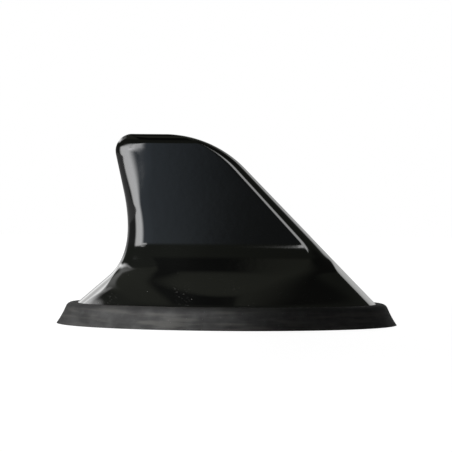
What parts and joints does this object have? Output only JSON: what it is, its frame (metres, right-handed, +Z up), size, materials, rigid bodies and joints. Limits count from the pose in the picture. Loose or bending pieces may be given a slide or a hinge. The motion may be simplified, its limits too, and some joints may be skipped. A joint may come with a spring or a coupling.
{
  "type": "shark fin aerial",
  "caption": "Stick-on car roof aerial: hollow gloss black fin with a domed skirt on a flared rubber gasket, with base plate, boards and lead outlet inside.",
  "frame": {"origin": "middle of the gasket's footprint, on the roof surface", "axes": "+X to the nose, +Y to the car's left, +Z up away from the roof"},
  "size_m": [0.135, 0.062, 0.0749],
  "materials": {
    "gloss_black_plastic": "high-gloss moulded black",
    "gasket_rubber": "matt dark grey, faint mould texture",
    "black_plate_plastic": "fine spark-eroded black",
    "foam_tape": "closed-cell foam, dull dark grey",
    "zinc_steel": "bright zinc plate",
    "green_board": "green solder mask on glass-epoxy",
    "copper": "etched copper under lacquer",
    "damper_foam": "open-cell foam, dull black",
    "tinplate": "bright rolled tinplate",
    "ferrite": "sintered dark grey, dull",
    "enamelled_wire": "amber enamel over copper",
    "capacitor_can": "drawn bright aluminium",
    "chip_body": "dull moulded black"
  },
  "bodies": {
    "root": {"fin_shell": "gloss_black_plastic", "base_gasket": "gasket_rubber", "base_plate": "black_plate_plastic", "adhesive_pad": "foam_tape", "base_screws": "zinc_steel", "lead_grommet": "gasket_rubber", "amplifier_board": "green_board", "board_screws": "zinc_steel", "radiator_board": "green_board", "radiator_trace": "copper", "damper_foam": "damper_foam", "shield_can": "tinplate", "coil_core": "ferrite", "coil_winding": "enamelled_wire", "supply_capacitor": "capacitor_can", "chip_parts": "chip_body", "lead_terminals": "tinplate"}
  },
  "joints": []
}
